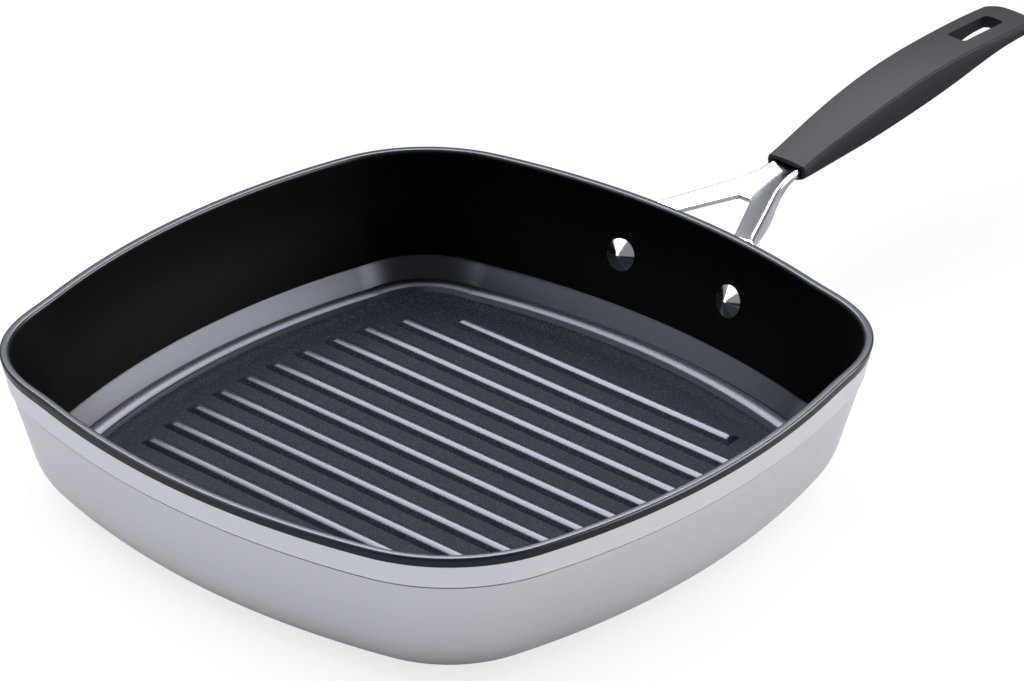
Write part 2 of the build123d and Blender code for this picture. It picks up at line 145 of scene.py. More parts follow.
class FinishSettings(bpy.types.PropertyGroup):
    floor: colour("Floor", "#1c222b", "Non-stick coating of the floor and the ridges' flanks")
    floor_speck: colour("Floor specks", "#4f5560", "Fine specks in the floor's coating")
    ridge: colour("Ridge tops", "#1d222b", "Non-stick coating of the ridges' tops")
    ridge_speck: colour("Ridge specks", "#2a2f39", "Fine specks in the ridge tops' coating")
    # The lip's, cove's and bead's tones are the floor's coating painted near black: painted shade
    smooth: colour("Lip and cove", "#050608", "Non-stick coating of the lip, the cove and the bead")
    smooth_speck: colour("Lip specks", "#101216", "Fine specks in the lip's coating")
    # The inner wall's tones are the floor's coating painted darker: painted shade on the steep wall
    wall: colour("Inner wall", "#020203", "Non-stick coating of the inner wall")
    wall_speck: colour("Wall specks", "#060709", "Fine specks in the wall's coating")
    sheen: colour("Coating sheen", "#cfdaf0", "Tint of the reflections in the coating")
    # The band's tone is the outer wall's aluminium painted lighter: painted light
    band: colour("Band", "#d8d9dd", "Aluminium of the band under the rim")
    satin: colour("Outer wall", "#cdced2", "Aluminium of the outer wall and the underside")
    yoke: colour("Yoke", "#b4b6ba", "Steel of the yoke")
    disc: colour("Disc", "#b0b1b4", "Steel of the induction disc")
    rivet: colour("Rivets", "#d2d2d4", "Steel of the rivets")
    core: colour("Grip core", "#0a0a0c", "Plastic inside the grip")
    grip: colour("Grip", "#191d28", "Rubber of the grip's sleeve")
    screw: colour("Screw", "#a5a6a8", "Steel of the screw")
    washer: colour("Washer", "#8f9092", "Steel of the lock washer")
    insert: colour("Insert", "#c09a4a", "Brass of the threaded insert")


class PAN_PG_settings(bpy.types.PropertyGroup):
    pan: bpy.props.PointerProperty(type=PanSettings)
    ridges: bpy.props.PointerProperty(type=RidgeSettings)
    base: bpy.props.PointerProperty(type=BaseSettings)
    yoke: bpy.props.PointerProperty(type=YokeSettings)
    finishes: bpy.props.PointerProperty(type=FinishSettings)


# Node helpers


def add_node(tree, kind, links=None, **settings):
    """Adds a node, sets its attributes or inputs by name, and links or sets the inputs given in links."""
    node = tree.nodes.new(kind)
    for key, value in settings.items():
        if hasattr(node, key):
            setattr(node, key, value)
        else:
            node.inputs[key.replace("_", " ")].default_value = value
    for socket, source in (links or {}).items():
        if isinstance(source, (int, float)):
            node.inputs[socket].default_value = source
        elif isinstance(source, bpy.types.Node):
            tree.links.new(source.outputs[0], node.inputs[socket])
        else:
            tree.links.new(source, node.inputs[socket])
    return node


def new_material(name, **values):
    """Node material whose Principled shader has the given constants on its own sockets."""
    material = bpy.data.materials.new(name)
    material.use_nodes = True
    tree = material.node_tree
    tree.nodes.clear()
    shader = add_node(tree, "ShaderNodeBsdfPrincipled", **values)
    add_node(tree, "ShaderNodeOutputMaterial", {"Surface": shader})
    return material, tree, shader


def new_tree(name, counts, sizes):
    """Geometry node tree with the named inputs, whole numbers and sizes, and those inputs' sockets."""
    tree = bpy.data.node_groups.new(name, "GeometryNodeTree")
    tree.interface.new_socket("Geometry", in_out="OUTPUT", socket_type="NodeSocketGeometry")
    for count in counts:
        tree.interface.new_socket(count, in_out="INPUT", socket_type="NodeSocketInt")
    for size in sizes:
        tree.interface.new_socket(size, in_out="INPUT", socket_type="NodeSocketFloat")
    return tree, add_node(tree, "NodeGroupInput").outputs


# Materials

# Specks of the coating in millimetres, drawn coarser than the real ones so that they show
SPECK_SPACING = 2 / 3
SPECK_DEPTH = 0.03

# Detail of the specks' noise, and the strength of their relief
SPECK_DETAIL = 2.0
SPECK_RELIEF = 0.15

# Parts of the noise between which the coating's colour turns into that of the specks
SPECK_START = 0.52
SPECK_FULL = 0.8

# Brush lines: depth in millimetres, detail, and how far they make the roughness vary
BRUSH_DEPTH = 0.02
BRUSH_DETAIL = 3.0
BRUSH_SPREAD = 0.15


def coating_material(name, tones, part, roughness, specular):
    """Sprayed and baked non-stick coating in a part's tones: near black, with specks that show close up."""
    values = {"Roughness": roughness, "Specular_IOR_Level": specular, "Specular_Tint": tones.sheen}
    material, tree, shader = new_material(name, **values)
    place = add_node(tree, "ShaderNodeTexCoord").outputs["Object"]
    scale = 1 / (SPECK_SPACING * MM)
    specks = add_node(tree, "ShaderNodeTexNoise", {"Vector": place}, Scale=scale, Detail=SPECK_DETAIL)
    ramp = add_node(tree, "ShaderNodeValToRGB", {"Fac": specks})
    base, speck = ramp.color_ramp.elements
    base.position, base.color = SPECK_START, getattr(tones, part)
    speck.position, speck.color = SPECK_FULL, getattr(tones, part + "_speck")
    tree.links.new(ramp.outputs["Color"], shader.inputs["Base Color"])
    depth = SPECK_DEPTH * MM
    relief = add_node(tree, "ShaderNodeBump", {"Height": specks}, Strength=SPECK_RELIEF, Distance=depth)
    tree.links.new(relief.outputs["Normal"], shader.inputs["Normal"])
    return material


def brushed_material(name, base, roughness, relief, across, run, width):
    """Brushed metal: fine lines, run and width in millimetres, thin across one axis, soften its gloss."""
    material, tree, shader = new_material(name, Base_Color=base, Metallic=1.0, Roughness=roughness)
    place = add_node(tree, "ShaderNodeTexCoord").outputs["Object"]
    scale = [1 / (run * MM)] * 3
    scale["xyz".index(across)] = 1 / (width * MM)
    mapping = add_node(tree, "ShaderNodeMapping", {"Vector": place}, Scale=scale)
    lines = add_node(tree, "ShaderNodeTexNoise", {"Vector": mapping}, Scale=1.0, Detail=BRUSH_DETAIL)
    least = roughness * (1 - BRUSH_SPREAD)
    most = roughness * (1 + BRUSH_SPREAD)
    spread = add_node(tree, "ShaderNodeMapRange", {"Value": lines}, To_Min=least, To_Max=most)
    tree.links.new(spread.outputs["Result"], shader.inputs["Roughness"])
    depth = BRUSH_DEPTH * MM
    bump = add_node(tree, "ShaderNodeBump", {"Height": lines}, Strength=relief, Distance=depth)
    tree.links.new(bump.outputs["Normal"], shader.inputs["Normal"])
    return material


def plain_material(name, base, roughness, metallic=0.0, specular=0.5):
    """One even colour and gloss."""
    values = {"Base_Color": base, "Metallic": metallic, "Roughness": roughness}
    return new_material(name, Specular_IOR_Level=specular, **values)[0]


# Mesh helpers

# Distance in metres under which two vertices are one
MERGE = 1e-7

# Angles in degrees from which an edge looks sharp, on swept pieces and on pieces made by modifiers
SWEPT_SHARP = 40
GROWN_SHARP = 50


def arc(centre, radius, start, end, steps):
    """Points of an arc round centre, angles in degrees, both ends included."""
    angles = [math.radians(start + (end - start) * i / steps) for i in range(steps + 1)]
    return [(centre[0] + radius * math.cos(a), centre[1] + radius * math.sin(a)) for a in angles]


def bowed(start, end, bow, steps):
    """Points from start to end on a line that bows out by bow in its middle, both ends included."""
    points = []
    for i in range(steps + 1):
        u = i / steps
        out = math.sin(math.pi * u)
        x = start[0] + (end[0] - start[0]) * u + bow[0] * out
        y = start[1] + (end[1] - start[1]) * u + bow[1] * out
        points.append((x, y))
    return points


def shifted(point, offsets):
    """Points that lie at the given offsets from one point."""
    return [(point[0] + dx, point[1] + dy) for dx, dy in offsets]


def grid_faces(rows, columns, closed):
    """Quads between rows of vertices, where closed rows also join their last vertex to their first."""
    faces = []
    for row in range(rows - 1):
        for i in range(columns if closed else columns - 1):
            low = row * columns
            high = low + columns
            j = (i + 1) % columns
            faces.append((low + i, low + j, high + j, high + i))
    return faces


def make_object(name, vertices, faces, materials, indices=None):
    """Smooth mesh object from millimetre vertices, sharp only where faces meet steeply."""
    mesh = bpy.data.meshes.new(name)
    mesh.from_pydata([Vector(v) * MM for v in vertices], [], faces)
    for material in materials:
        mesh.materials.append(material)
    if indices:
        mesh.polygons.foreach_set("material_index", indices)
    mesh.update()
    merged = bmesh.new()
    merged.from_mesh(mesh)
    bmesh.ops.remove_doubles(merged, verts=merged.verts, dist=MERGE)
    bmesh.ops.recalc_face_normals(merged, faces=merged.faces)
    merged.to_mesh(mesh)
    merged.free()
    mesh.shade_smooth()
    mesh.set_sharp_from_angle(angle=math.radians(SWEPT_SHARP))
    made = bpy.data.objects.new(name, mesh)
    bpy.context.scene.collection.objects.link(made)
    return made


def settle(piece):
    """Turns what a piece's modifiers make into its plain mesh."""
    bpy.context.view_layer.update()
    graph = bpy.context.evaluated_depsgraph_get()
    mesh = bpy.data.meshes.new_from_object(piece.evaluated_get(graph))
    piece.modifiers.clear()
    piece.data = mesh
    mesh.shade_smooth()
    mesh.set_sharp_from_angle(angle=math.radians(GROWN_SHARP))
    return piece


def grown(name, tree, values):
    """Piece made by a geometry node tree with the given named inputs."""
    piece = bpy.data.objects.new(name, bpy.data.meshes.new(name))
    bpy.context.scene.collection.objects.link(piece)
    modifier = piece.modifiers.new(name, "NODES")
    modifier.node_group = tree
    for item in tree.interface.items_tree:
        if item.in_out == "INPUT":
            modifier[item.identifier] = values[item.name]
    return settle(piece)


def finish_piece(piece, slot, *nodes):
    """Hands a piece to the frame's root body and hides the CAD nodes it stands for. Its slot is not used.
    """
    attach(piece, "root")
    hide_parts(*nodes)


# Outline of the pan

# Stations on the half side and on the corner arc
SIDE_STEPS = 30
CORNER_STEPS = 36

# How late a pouring lip flares on its way up, where 1 is a straight flare
LIP_FLARE = 1.7


def corner_place(side_offset, gap):
    """Centre of a corner's arc on both axes, and the angle at which it meets the arched side."""
    centre = (math.sqrt(2 * gap**2 - side_offset**2) - side_offset) / 2
    return centre, math.atan2(centre, centre + side_offset)


def pour(pan, point, height):
    """Point of an outline moved out where one of the two pouring lips flares at this height."""
    off = abs(math.atan2(abs(point.y), abs(point.x)) - math.pi / 4)
    if point.x * point.y >= 0 or off >= pan.lip_spread:
        return point
    rise = max(height - pan.lip_foot, 0.0) / (pan.rim_height - pan.lip_foot)
    share = math.cos(math.pi / 2 * off / pan.lip_spread) ** 2
    return point + point.normalized() * pan.lip_reach * rise**LIP_FLARE * share


def outline(pan, inset, height, square):
    """Closed outline of the rim moved in by inset, its sides in by square and its corners out by it.

    The height says how far the pouring lips flare there.
    """
    side_offset = pan.side_radius - pan.width / 2
    centre, sweep = corner_place(side_offset, pan.side_radius - pan.corner_radius)
    points = []
    for quarter in range(4):
        turn = Matrix.Rotation(quarter * math.pi / 2, 2)
        for i in range(2 * SIDE_STEPS):
            around = sweep * (i / SIDE_STEPS - 1)
            side = pan.side_radius - inset - square * math.cos(4 * around)
            x = side * math.cos(around) - side_offset
            y = side * math.sin(around)
            points.append(turn @ Vector((x, y)))
        for i in range(CORNER_STEPS):
            around = sweep + (math.pi / 2 - 2 * sweep) * i / CORNER_STEPS
            corner = pan.corner_radius - inset - square * math.cos(4 * around)
            x = centre + corner * math.cos(around)
            y = centre + corner * math.sin(around)
            points.append(turn @ Vector((x, y)))
    return [pour(pan, point, height) for point in points]


# Pan body

# Steps in the curves of the section
LIP_STEPS = 6
BOW_STEPS = 8
BOTTOM_STEPS = 24

# Step from the floor up to the bead, as insets and heights from its foot and from the bead's inner end
STEP_FOOT = ((0.0, 0.0), (-1.6, 0.04), (-3.0, 0.3))
STEP_SLOPE = ((2.5, -2.1), (1.5, -1.3))
STEP_LEDGE = ((0.35, -0.35),)

# Bead: how far its inner end lies under the valley, how far it bows up, and how its crest rounds off
BEAD_DROP = 0.5
BEAD_BOW = 0.25
CREST_ROUND = ((-0.5, -0.05), (-1.0, -0.35))

# Direction in which the cove is hollow, as inset and height
COVE_BOW = (0.8, -0.5)

# Rows of the inner wall: the distances of the first and last from its ends, and the heights between
WALL_FOOT_ROUND = 0.4
WALL_TOP_ROUND = 0.6
WALL_ROWS = (21.0, 24.0, 28.0, 33.0, 38.0)

# Where the wall runs into the lip's round edge, as inset and height from the edge's foot
LIP_JOIN = (0.05, -0.5)

# Band: insets of its top and foot, and its rounded lower edge as inset and height from the foot
BAND_INSET = 0.02
BAND_TAPER = 0.2
BAND_EDGE = (0.15, -0.1)

# Groove: how far its roof lies under the band's foot and its ground over the wall, at its inner end
GROOVE_ROOF = 0.12
GROOVE_GROUND = 0.02

# Height of the upright edge at the wall's top
WALL_EDGE = 0.1


def wall_top_height(pan):
    """Height of the outer wall's upper edge, under the groove."""
    return pan.rim_height - pan.band - pan.groove


def outer_inset(pan, height):
    """Inset of the outer wall at a height, by its draft."""
    return pan.wall_inset + (wall_top_height(pan) - height) * math.tan(pan.draft)


def inside_runs(pan, floor, smooth, wall):
    """Section inside the pan, from the floor over step, bead and cove up the wall to the lip."""
    bead_end = (pan.valley + pan.bead, pan.valley_height - BEAD_DROP)
    crest = (pan.valley + pan.crest, pan.valley_height + pan.bead_rise)
    crease = (pan.valley, pan.valley_height - pan.crease)
    foot = (outer_inset(pan, pan.foot) + pan.wall, pan.foot)
    floor_edge = shifted((pan.step, pan.floor), STEP_FOOT)
    bead = bowed(bead_end, crest, (0.0, BEAD_BOW), BOW_STEPS) + shifted(crest, CREST_ROUND)
    cove = bowed(crease, foot, [part * pan.cove_hollow for part in COVE_BOW], BOW_STEPS)
    heights = (pan.foot + WALL_FOOT_ROUND, *WALL_ROWS, wall_top_height(pan) - WALL_TOP_ROUND)
    rise = [(outer_inset(pan, height) + pan.wall, height) for height in heights]
    lip_edge = (pan.lip, pan.rim_height - pan.rim_round)
    return [
        (floor_edge + shifted(bead_end, STEP_SLOPE), floor),
        (shifted(bead_end, STEP_LEDGE) + bead + cove, smooth),
        (rise + shifted(lip_edge, [LIP_JOIN]), wall),
    ]


def outside_runs(pan, smooth, band, satin):
    """Section of the lip and the pan's outside, down to the flat of the underside."""
    edge = pan.rim_round
    top = pan.rim_height
    band_foot = (BAND_TAPER, top - pan.band)
    wall_top = wall_top_height(pan)
    band_top = (BAND_INSET, top - pan.lip_drop)
    lip_in = arc((pan.lip - edge, top - edge), edge, 0, 90, LIP_STEPS)
    lip_out = arc((edge, top - edge), edge, 90, 180, LIP_STEPS)
    band_run = [band_top, band_foot] + shifted(band_foot, [BAND_EDGE])
    groove_roof = (pan.groove_inset, band_foot[1] - GROOVE_ROOF)
    groove_ground = (pan.groove_inset, wall_top + GROOVE_GROUND)
    wall_run = [(pan.wall_inset, wall_top), (pan.wall_inset, wall_top - WALL_EDGE)]
    turn_height = pan.underside + pan.bottom_radius * (1 - math.sin(pan.draft))
    flat_inset = outer_inset(pan, turn_height) + pan.bottom_radius * math.cos(pan.draft)
    centre = (flat_inset, pan.underside + pan.bottom_radius)
    bottom = arc(centre, pan.bottom_radius, 180 + math.degrees(pan.draft), 270, BOTTOM_STEPS)
    return [
        (lip_in + lip_out + [band_top], smooth),
        (band_run, band),
        ([groove_roof, groove_ground] + wall_run + bottom, satin),
    ]


def build_shell(settings, materials):
    """Sweeps the wall's section round the outline and closes floor and underside."""
    pan, base = settings.pan, settings.base
    floor, smooth, wall, band, satin = range(len(materials))
    loops = []
    marks = []
    inside = inside_runs(pan, floor, smooth, wall)
    runs = inside + outside_runs(pan, smooth, band, satin)
    for index, (run, mark) in enumerate(runs):
        for inset, height in run:
            fade = min(max((pan.square_top - height) / (pan.square_top - pan.foot), 0.0), 1.0)
            square = pan.square * fade if index < len(inside) else 0.0
            loops.append([(p.x, p.y, height) for p in outline(pan, inset, height, square)])
            marks.append(mark)
    recess = [Vector(v).xy.normalized() * base.recess for v in loops[-1]]
    for height in (pan.underside, base.ceiling):
        loops.append([(p.x, p.y, height) for p in recess])
        marks.append(satin)
    columns = len(recess)
    last = (len(loops) - 1) * columns
    faces = grid_faces(len(loops), columns, closed=True)
    indices = [mark for mark in marks[1:] for _ in range(columns)]
    faces.append(tuple(range(columns)))
    faces.append(tuple(last + i for i in reversed(range(columns))))
    indices += [floor, satin]
    vertices = [v for loop in loops for v in loop]
    return make_object("pan_shell", vertices, faces, materials, indices)


class PAN_OT_body(bpy.types.Operator):
    """Builds the pan's shell"""

    bl_idname = "pan.body"
    bl_label = "Pan body"

    def execute(self, context):
        settings = context.scene.grill_pan
        tones = settings.finishes
        # Rough coating that stays dark grey and shows its specks
        floor = coating_material("nonstick_floor", tones, "floor", roughness=0.6, specular=0.07)
        # Smoother coating that mirrors the room as a soft bright line, its tone painted near black, darker
        # than the floor's coating: painted shade
        smooth = coating_material("nonstick_smooth", tones, "smooth", roughness=0.3, specular=0.5)
        # Coating of the steep wall, painted almost black, darker than the floor's coating: painted shade
        wall = coating_material("nonstick_wall", tones, "wall", roughness=0.45, specular=0.07)
        # Lines that run round the pan and are fine across its height
        lines = {"across": "z", "run": 100 / 3, "width": 0.4}
        # Turned band of the same aluminium, its colour painted a little lighter than the wall below:
        # painted light
        band = brushed_material("band_aluminium", tones.band, roughness=0.34, relief=0.1, **lines)
        # Satin aluminium with a soft gloss round the pan
        satin = brushed_material("satin_aluminium", tones.satin, roughness=0.36, relief=0.12, **lines)
        shell = build_shell(settings, [floor, smooth, wall, band, satin])
        finish_piece(shell, "body_aluminium", "pan_body")
        return {"FINISHED"}


# Grill ridges

# Section: how deep a ridge's foot sinks into the floor, its foot's first row and its shoulder's outset
RIDGE_SINK = 0.2
RIDGE_FOOT = (0.5, 0.35)
RIDGE_SHOULDER = 0.2

# Dome of a ridge's top: steps to each side, and the half width over which it is nearly flat
DOME_STEPS = 5
DOME_CROWN = 0.3

# Sloping ends: share of the rise, and reach as a share of the ridge's half length
RIDGE_ENDS = ((0.0, 1.02), (0.4, 1.008), (0.8, 0.994), (1.0, 0.975))

# Least upward part of the normal on a ridge's top
TOP_FACING = 0.9

# Place x and half length of each ridge, step by step: the result, the operation and its terms
RIDGE_FORMULA = (
    ("last", "SUBTRACT", "Count", 1),
    ("middle", "DIVIDE", "last", 2),
    ("ridge", "SUBTRACT", "Index", "middle"),
    ("x", "MULTIPLY", "ridge", "Pitch"),
    ("off", "ABSOLUTE", "x"),
    ("x square", "MULTIPLY", "x", "x"),
    ("side square", "MULTIPLY", "Side", "Side"),
    ("side rest", "SUBTRACT", "side square", "x square"),
    ("side root", "SQRT", "side rest"),
    ("on side", "SUBTRACT", "side root", "Side offset"),
    ("past", "SUBTRACT", "off", "Corner centre"),
    ("past square", "MULTIPLY", "past", "past"),
    ("corner square", "MULTIPLY", "Corner", "Corner"),
    ("corner rest", "SUBTRACT", "corner square", "past square"),
    ("corner safe", "MAXIMUM", "corner rest", 0),
    ("corner root", "SQRT", "corner safe"),
    ("on corner", "ADD", "corner root", "Corner centre"),
    ("beyond", "GREATER_THAN", "off", "Side end"),
    ("within", "SUBTRACT", 1, "beyond"),
    ("corner part", "MULTIPLY", "on corner", "beyond"),
    ("side part", "MULTIPLY", "on side", "within"),
    ("reach", "ADD", "corner part", "side part"),
)


def ridge_bar(ridges, floor):
    """One ridge, its half length taken as 1 m, with a domed top and sloping ends."""
    half = ridges.width / 2
    shoulder = ridges.top / 2
    flank = [
        (-half, -RIDGE_SINK),
        (-half + RIDGE_FOOT[0], RIDGE_FOOT[1]),
        (-shoulder - RIDGE_SHOULDER, ridges.rise - ridges.dome - RIDGE_SHOULDER),
    ]
    dome = []
    for i in range(2 * DOME_STEPS + 1):
        x = shoulder * (i / DOME_STEPS - 1)
        fall = (math.hypot(x, DOME_CROWN) - DOME_CROWN) / (math.hypot(shoulder, DOME_CROWN) - DOME_CROWN)
        dome.append((x, ridges.rise - ridges.dome * fall))
    section = flank + dome + [(-x, z) for x, z in reversed(flank)]
    rows = [(lift, -reach) for lift, reach in RIDGE_ENDS] + list(reversed(RIDGE_ENDS))
    vertices = []
    for lift, reach in rows:
        vertices += [(x, reach / MM, floor + min(z, ridges.rise * lift)) for x, z in section]
    return vertices, grid_faces(len(rows), len(section), closed=False)


def ridge_tree(bar, flank, top):
    """Geometry nodes: a bar for each ridge, stretched to the field's outline, with a finish for its top."""
    sizes = ("Pitch", "Side", "Side offset", "Corner", "Corner centre", "Side end", "Top facing")
    tree, given = new_tree("ridges", ("Count",), sizes)
    known = {socket.name: socket for socket in given}
    known["Index"] = add_node(tree, "GeometryNodeInputIndex")
    for result, operation, *terms in RIDGE_FORMULA:
        sources = {place: known.get(term, term) for place, term in enumerate(terms)}
        known[result] = add_node(tree, "ShaderNodeMath", sources, operation=operation)
    line = add_node(tree, "GeometryNodeMeshLine", {"Count": given["Count"]})
    spot = add_node(tree, "ShaderNodeCombineXYZ", {"X": known["x"]})
    moved = add_node(tree, "GeometryNodeSetPosition", {"Geometry": line, "Position": spot})
    shape = add_node(tree, "GeometryNodeObjectInfo", Object=bar).outputs["Geometry"]
    stretch = add_node(tree, "ShaderNodeCombineXYZ", {"Y": known["reach"]}, X=1.0, Z=1.0)
    sources = {"Points": moved, "Instance": shape, "Scale": stretch}
    copies = add_node(tree, "GeometryNodeInstanceOnPoints", sources)
    real = add_node(tree, "GeometryNodeRealizeInstances", {"Geometry": copies})
    coated = add_node(tree, "GeometryNodeSetMaterial", {"Geometry": real}, Material=flank)
    normal = add_node(tree, "GeometryNodeInputNormal")
    upward = add_node(tree, "ShaderNodeSeparateXYZ", {"Vector": normal}).outputs["Z"]
    on_top = add_node(tree, "ShaderNodeMath", {0: upward, 1: given["Top facing"]}, operation="GREATER_THAN")
    sources = {"Geometry": coated, "Selection": on_top}
    painted = add_node(tree, "GeometryNodeSetMaterial", sources, Material=top)
    add_node(tree, "NodeGroupOutput", {"Geometry": painted})
    return tree


class PAN_OT_ridges(bpy.types.Operator):
    """Builds the grill ridges in the coating of the pan's floor, with smoother tops"""

    bl_idname = "pan.ridges"
    bl_label = "Grill ridges"

    def execute(self, context):
        settings = context.scene.grill_pan
        pan, ridges, tones = settings.pan, settings.ridges, settings.finishes
        # Smooth coating of the tops, which catch the light as bright bars
        top = coating_material("nonstick_ridge", tones, "ridge", roughness=0.3, specular=0.5)
        flank = bpy.data.materials["nonstick_floor"]
        vertices, faces = ridge_bar(ridges, pan.floor)
        bar = make_object("ridge_bar", vertices, faces, [top])
        side = pan.side_radius - ridges.field
        side_offset = pan.side_radius - pan.width / 2
        centre, sweep = corner_place(side_offset, side - ridges.corner)
        values = {
            "Count": ridges.count,
            "Pitch": ridges.pitch * MM,
            "Side": side * MM,
            "Side offset": side_offset * MM,
            "Corner": ridges.corner * MM,
            "Corner centre": centre * MM,
            "Side end": side * MM * math.sin(sweep),
            "Top facing": TOP_FACING,
        }
        field = grown("pan_ridges", ridge_tree(bar, flank, top), values)
        bpy.data.objects.remove(bar)
        finish_piece(field, "body_aluminium", "pan_body")
        return {"FINISHED"}


# Aluminium nubs in the disc's holes

# Rings of holes in the steel disc: radius and number of holes
NUB_RINGS = ((30.0, 8), (50.0, 14), (70.0, 20), (88.0, 26))

# Sides of a nub, and how far it reaches into the recess's ceiling
NUB_SIDES = 24
NUB_SINK = 0.1


def nub_tree(material):
    """Geometry nodes: a short aluminium nub on each point of the rings."""
    tree, given = new_tree("nubs", (), ("Radius", "Depth", "Height"))
    rings = add_node(tree, "GeometryNodeJoinGeometry")
    for radius, count in NUB_RINGS:
        ring = add_node(tree, "GeometryNodeMeshCircle", Vertices=count, Radius=radius * MM)
        tree.links.new(ring.outputs["Mesh"], rings.inputs["Geometry"])
    lift = add_node(tree, "ShaderNodeCombineXYZ", {"Z": given["Height"]})
    raised = add_node(tree, "GeometryNodeSetPosition", {"Geometry": rings, "Offset": lift})
    sizes = {"Radius": given["Radius"], "Depth": given["Depth"]}
    nub = add_node(tree, "GeometryNodeMeshCylinder", sizes, Vertices=NUB_SIDES)
    copies = add_node(tree, "GeometryNodeInstanceOnPoints", {"Points": raised, "Instance": nub})
    real = add_node(tree, "GeometryNodeRealizeInstances", {"Geometry": copies})
    painted = add_node(tree, "GeometryNodeSetMaterial", {"Geometry": real}, Material=material)
    add_node(tree, "NodeGroupOutput", {"Geometry": painted})
    return tree


class PAN_OT_nubs(bpy.types.Operator):
    """Builds the nubs of the pan's aluminium that fill the holes in the steel disc"""

    bl_idname = "pan.nubs"
    bl_label = "Base nubs"

    def execute(self, context):
        settings = context.scene.grill_pan
        pan, base = settings.pan, settings.base
        depth = base.ceiling - pan.underside + NUB_SINK
        middle = pan.underside + depth / 2
        values = {"Radius": base.nub * MM, "Depth": depth * MM, "Height": middle * MM}
        nubs = grown("base_nubs", nub_tree(bpy.data.materials["satin_aluminium"]), values)
        finish_piece(nubs, "body_aluminium", "pan_body")
        return {"FINISHED"}


# Yoke

# Stations from the bend to the tang's end: x with the height, the half width or the flange's depth
YOKE_HEIGHTS = ((144.0, 53.5), (170.0, 56.4), (195.0, 59.9), (266.0, 68.6))
YOKE_FLANGES = ((141.0, 0.6), (150.0, 4.5), (162.0, 7.0), (170.0, 8.0), (195.0, 3.2), (266.0, 2.4))
YOKE_WIDTHS = (
    (141.0, 33.0),
    (149.0, 24.6),
    (160.0, 19.6),
    (171.0, 14.4),
    (181.0, 9.6),
    (190.0, 7.1),
    (208.0, 7.1),
    (212.0, 5.4),
)

# Reach to both sides over which the stations are smoothed, and the samples on each side
HEIGHT_BLEND = 4.0
FLANGE_BLEND = 4.0
WIDTH_BLEND = 3.0
BLEND_SAMPLES = 6

# Wall pad: clearance to the wall, steps of its round corners, heights of its rows and its last row's drop
PAD_CLEARANCE = 0.2
PAD_STEPS = 8
PAD_ROWS = (36.0, 40.0)
PAD_END = 1.0

# Bend from the pad to the arms: steps, how far it aims past the first station, and its curve's two powers
BEND_STEPS = 8
BEND_AIM = (2.0, 0.3)
BEND_POWERS = (1.3, 0.85)

# Distance of the arms' first row from the first station, and of each row from the next
ARM_START = 3.0
ARM_STEP = 1.0

# Columns of the half section: up to the opening's edge, on the flat and on the round edge
GAP_COLUMNS = 6
FLAT_COLUMNS = 10
ROUND_COLUMNS = 5

# Largest shares that the opening takes of the half width and the round edge of the flange's depth
GAP_SHARE = 0.62
ROUND_SHARE = 0.7

# Least half width of the opening, and least height of a flange under its round edge
GAP_LEAST = 0.3
FLANGE_LEAST = 0.01

# Depth of flange from which the arms are fully dished, and share of the dish under the arms' height
DISH_FLANGE = 2.0
DISH_LEVEL = 0.6

# Deburred edges of the sheet: width, segments and least angle in degrees
BURR_WIDTH = 0.35
BURR_SEGMENTS = 2
BURR_ANGLE = 60


def between(stations, x):
    """Value at x on straight lines through stations of (x, value)."""
    if x <= stations[0][0]:
        return stations[0][1]
    for (x0, v0), (x1, v1) in zip(stations, stations[1:]):
        if x <= x1:
            return v0 + (v1 - v0) * (x - x0) / (x1 - x0)
    return stations[-1][1]


def blended(stations, x, reach):
    """Value at x averaged over reach on both sides, which rounds the corners between stations."""
    offsets = [reach * i / BLEND_SAMPLES for i in range(-BLEND_SAMPLES, BLEND_SAMPLES + 1)]
    samples = [between(stations, x + offset) for offset in offsets]
    return sum(samples) / len(samples)


def pad_x(pan, yoke, height):
    """X of the pad's outer face at a height."""
    return pan.width / 2 - outer_inset(pan, height) + PAD_CLEARANCE + yoke.sheet


def pad_rows(pan, yoke):
    """Rows of the wall pad, from its rounded foot to its top."""
    rows = []
    for i in range(PAD_STEPS + 1):
        turn = math.pi / 2 * i / PAD_STEPS
        height = yoke.pad_foot + yoke.pad_corner * (1 - math.cos(turn))
        half = yoke.pad_half - yoke.pad_corner * (1 - math.sin(turn))
        rows.append((pad_x(pan, yoke, height), height, half, 0.0))
    for height in (*PAD_ROWS, yoke.pad_top - PAD_END):
        rows.append((pad_x(pan, yoke, height), height, yoke.pad_half, 0.0))
    return rows


def bend_rows(pan, yoke):
    """Rows of the bend that leads from the pad out to the arms."""
    start = pad_x(pan, yoke, yoke.pad_top)
    end = YOKE_HEIGHTS[0][0] + BEND_AIM[0]
    end_height = YOKE_HEIGHTS[0][1] + BEND_AIM[1]
    rows = []
    for i in range(1, BEND_STEPS):
        u = i / BEND_STEPS
        x = start + (end - start) * u ** BEND_POWERS[0]
        height = yoke.pad_top + (end_height - yoke.pad_top) * u ** BEND_POWERS[1]
        half = yoke.pad_half + (YOKE_WIDTHS[0][1] - yoke.pad_half) * u
        rows.append((x, height, half, YOKE_FLANGES[0][1] * u))
    return rows


def arm_rows():
    """Rows of the arms and the tang."""
    rows = []
    x = YOKE_HEIGHTS[0][0] + ARM_START
    while x <= YOKE_HEIGHTS[-1][0]:
        height = blended(YOKE_HEIGHTS, x, HEIGHT_BLEND)
        half = blended(YOKE_WIDTHS, x, WIDTH_BLEND)
        rows.append((x, height, half, blended(YOKE_FLANGES, x, FLANGE_BLEND)))
        x += ARM_STEP
    return rows


def gap_half(yoke, x):
    """Half width of the opening at x, zero outside it, with round corners."""
    if not yoke.gap_start < x < yoke.gap_end:
        return 0.0
    share = (x - yoke.gap_start) / (yoke.gap_end - yoke.gap_start)
    half = yoke.gap_wide + (yoke.gap_narrow - yoke.gap_wide) * share
    near = min(x - yoke.gap_start, yoke.gap_end - x, yoke.gap_corner)
    cut = yoke.gap_corner - math.sqrt(max(yoke.gap_corner**2 - (yoke.gap_corner - near) ** 2, 0.0))
    return max(half - cut, GAP_LEAST)


